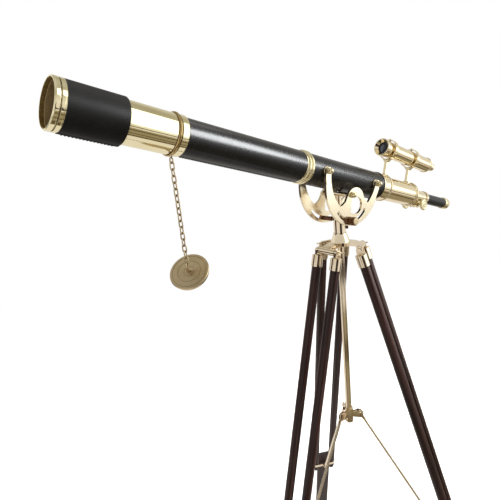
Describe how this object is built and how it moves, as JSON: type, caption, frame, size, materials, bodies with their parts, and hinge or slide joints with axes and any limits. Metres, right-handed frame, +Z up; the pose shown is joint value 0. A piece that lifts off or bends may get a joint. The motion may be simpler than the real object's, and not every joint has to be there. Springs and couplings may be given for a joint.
{
  "type": "telescope on tripod",
  "caption": "Leather-covered brass refracting telescope with a finder, slotted yoke, hanging lens cap and a folding wooden tripod with extending legs.",
  "frame": {"origin": "on the floor, under the centre line of the tripod", "axes": "+Z up, the barrel lies in the XZ plane and its objective end points along -X and up, +Y completes the frame"},
  "size_m": [0.9561, 0.7246, 1.6444],
  "materials": {
    "polished_brass": "polished, lightly worn at the edges",
    "satin_brass": "satin, brushed",
    "dark_brass": "darkened, knurled",
    "black_leather": "semi-gloss, fine grain, sewn seam",
    "black_lacquer": "semi-gloss lacquer",
    "rosewood": "dark polished rosewood",
    "optical_glass": "clear, coated"
  },
  "bodies": {
    "tripod": {"tripod_head": "polished_brass", "leg_pivot_bolts": "polished_brass", "centre_tube": "polished_brass"},
    "stem": {"stem": "polished_brass", "clamp_rod": "dark_brass"},
    "barrel": {"main_tube": "polished_brass", "main_leather": "black_leather", "front_sleeve": "polished_brass", "front_collar": "polished_brass", "middle_band": "polished_brass", "objective_cell": "polished_brass", "objective_lenses": "optical_glass", "rear_collar": "polished_brass", "rear_tube": "polished_brass", "rear_flange": "polished_brass", "focuser_body": "polished_brass", "finder_brackets": "polished_brass", "bracket_screws": "dark_brass", "finder_tube": "polished_brass", "finder_objective": "optical_glass", "yoke_plates": "satin_brass", "yoke_studs": "polished_brass", "yoke_nuts": "polished_brass", "pivot_bolt": "polished_brass"},
    "hood": {"hood_tube": "polished_brass", "hood_leather": "black_leather", "hood_rim": "polished_brass"},
    "draw": {"draw_tube": "black_lacquer", "focus_rack": "dark_brass"},
    "pinion": {"focus_pinion": "polished_brass", "focus_knobs": "polished_brass"},
    "eyepiece": {"eyepiece": "polished_brass", "eyepiece_lenses": "optical_glass"},
    "finder_eyepiece": {"finder_eyepiece": "polished_brass", "finder_eye_lens": "optical_glass"},
    "clamp_knob": {"clamp_knob": "dark_brass"},
    "azimuth_screw": {"azimuth_screw": "dark_brass"},
    "hub": {"spreader_hub": "polished_brass"},
    "hub_screw": {"hub_screw": "dark_brass"},
    "chain_ring": {"chain_ring": "satin_brass"},
    "chain": {"cap_chain": "satin_brass"},
    "lens_cap": {"lens_cap": "satin_brass"},
    "leg_1": {"leg_1_rods": "rosewood", "leg_1_fittings": "polished_brass"},
    "board_1": {"leg_1_board": "rosewood", "leg_1_foot": "polished_brass"},
    "stay_1": {"leg_1_stay": "polished_brass"},
    "leg_screw_1": {"leg_1_screw": "polished_brass"},
    "leg_2": {"leg_2_rods": "rosewood", "leg_2_fittings": "polished_brass"},
    "board_2": {"leg_2_board": "rosewood", "leg_2_foot": "polished_brass"},
    "stay_2": {"leg_2_stay": "polished_brass"},
    "leg_screw_2": {"leg_2_screw": "polished_brass"},
    "leg_3": {"leg_3_rods": "rosewood", "leg_3_fittings": "polished_brass"},
    "board_3": {"leg_3_board": "rosewood", "leg_3_foot": "polished_brass"},
    "stay_3": {"leg_3_stay": "polished_brass"},
    "leg_screw_3": {"leg_3_screw": "polished_brass"}
  },
  "joints": [
    {"name": "azimuth", "type": "hinge", "parent": "tripod", "child": "stem", "pos_m": [0, 0, 1.36], "axis": [0, 0, 1], "continuous": true},
    {"name": "tilt", "type": "hinge", "parent": "stem", "child": "barrel", "pos_m": [0, 0, 1.412], "axis": [0, 1, 0], "range_deg": [-45, 42]},
    {"name": "hood_slide", "type": "slide", "parent": "barrel", "child": "hood", "axis": [0.9521, 0, -0.3057], "range_m": [0, 0.06]},
    {"name": "focus_draw", "type": "slide", "parent": "barrel", "child": "draw", "axis": [0.9521, 0, -0.3057], "range_m": [-0.045, 0.03]},
    {"name": "focus_knob_turn", "type": "hinge", "parent": "barrel", "child": "pinion", "pos_m": [0.27884, 0, 1.33838], "axis": [0, 1, 0], "range_deg": [-520, 348]},
    {"name": "eyepiece_slide", "type": "slide", "parent": "draw", "child": "eyepiece", "axis": [0.9521, 0, -0.3057], "range_m": [0, 0.02]},
    {"name": "finder_eyepiece_slide", "type": "slide", "parent": "barrel", "child": "finder_eyepiece", "axis": [0.9421, 0, -0.3355], "range_m": [0, 0.012]},
    {"name": "clamp_knob_turn", "type": "hinge", "parent": "stem", "child": "clamp_knob", "pos_m": [-0.008, -0.045, 1.362], "axis": [0, -1, 0], "range_deg": [-20, 360]},
    {"name": "azimuth_screw_turn", "type": "hinge", "parent": "stem", "child": "azimuth_screw", "pos_m": [0.01061, -0.01061, 1.343], "axis": [0.7071, -0.7071, 0], "range_deg": [-20, 360]},
    {"name": "leg_1_fold", "type": "hinge", "parent": "tripod", "child": "leg_1", "pos_m": [-0.0406, 0, 1.3023], "axis": [0, -1, 0], "range_deg": [0, 15.41]},
    {"name": "leg_2_fold", "type": "hinge", "parent": "tripod", "child": "leg_2", "pos_m": [0.0203, -0.03516, 1.3023], "axis": [0.866, 0.5, 0], "range_deg": [0, 15.41]},
    {"name": "leg_3_fold", "type": "hinge", "parent": "tripod", "child": "leg_3", "pos_m": [0.0203, 0.03516, 1.3023], "axis": [-0.866, 0.5, 0], "range_deg": [0, 15.41]},
    {"name": "hub_slide", "type": "slide", "parent": "tripod", "child": "hub", "axis": [0, 0, 1], "range_m": [0, 0.03115]},
    {"name": "hub_screw_turn", "type": "hinge", "parent": "hub", "child": "hub_screw", "pos_m": [-0.006, 0.01039, 0.9134], "axis": [-0.5, 0.866, 0], "range_deg": [-20, 360]},
    {"name": "stay_1_turn", "type": "hinge", "parent": "leg_1", "child": "stay_1", "pos_m": [-0.23064, 0, 0.55638], "axis": [0, -1, 0], "range_deg": [0, 15.22]},
    {"name": "leg_1_extend", "type": "slide", "parent": "leg_1", "child": "board_1", "axis": [-0.2657, 0, -0.964], "range_m": [-0.4, 0]},
    {"name": "leg_1_screw_turn", "type": "hinge", "parent": "leg_1", "child": "leg_screw_1", "pos_m": [-0.2451, -0.03975, 0.56037], "axis": [0, -1, 0], "range_deg": [-20, 360]},
    {"name": "stay_2_turn", "type": "hinge", "parent": "leg_2", "child": "stay_2", "pos_m": [0.11532, -0.19974, 0.55638], "axis": [0.866, 0.5, 0], "range_deg": [0, 15.22]},
    {"name": "leg_2_extend", "type": "slide", "parent": "leg_2", "child": "board_2", "axis": [0.1329, -0.2301, -0.964], "range_m": [-0.4, 0]},
    {"name": "leg_2_screw_turn", "type": "hinge", "parent": "leg_2", "child": "leg_screw_2", "pos_m": [0.15698, -0.19239, 0.56037], "axis": [0.866, 0.5, 0], "range_deg": [-20, 360]},
    {"name": "stay_3_turn", "type": "hinge", "parent": "leg_3", "child": "stay_3", "pos_m": [0.11532, 0.19974, 0.55638], "axis": [-0.866, 0.5, 0], "range_deg": [0, 15.22]},
    {"name": "leg_3_extend", "type": "slide", "parent": "leg_3", "child": "board_3", "axis": [0.1329, 0.2301, -0.964], "range_m": [-0.4, 0]},
    {"name": "leg_3_screw_turn", "type": "hinge", "parent": "leg_3", "child": "leg_screw_3", "pos_m": [0.08813, 0.23214, 0.56037], "axis": [-0.866, 0.5, 0], "range_deg": [-20, 360]},
    {"name": "chain_ring_turn", "type": "hinge", "parent": "barrel", "child": "chain_ring", "pos_m": [-0.36271, 0, 1.52993], "axis": [0, 1, 0], "range_deg": [-42, 45]},
    {"name": "chain_swing", "type": "hinge", "parent": "chain_ring", "child": "chain", "pos_m": [-0.36271, 0, 1.52308], "axis": [1, 0, 0], "range_deg": [-20, 20]},
    {"name": "cap_turn", "type": "hinge", "parent": "chain", "child": "lens_cap", "pos_m": [-0.36271, 0, 1.35988], "axis": [0.6157, -0.788, 0], "range_deg": [-38, 35]}
  ],
  "couplings": [
    {"joint": "focus_knob_turn", "follows": "focus_draw", "rad_per_m": 200},
    {"joint": "chain_ring_turn", "follows": "tilt", "ratio": -1},
    {"joint": "leg_2_fold", "follows": "leg_1_fold", "ratio": 1},
    {"joint": "leg_3_fold", "follows": "leg_1_fold", "ratio": 1},
    {"joint": "hub_slide", "follows": "leg_1_fold", "m_per_rad": 0.1158},
    {"joint": "stay_1_turn", "follows": "leg_1_fold", "ratio": 0.98734},
    {"joint": "stay_2_turn", "follows": "leg_1_fold", "ratio": 0.98734},
    {"joint": "stay_3_turn", "follows": "leg_1_fold", "ratio": 0.98734}
  ]
}
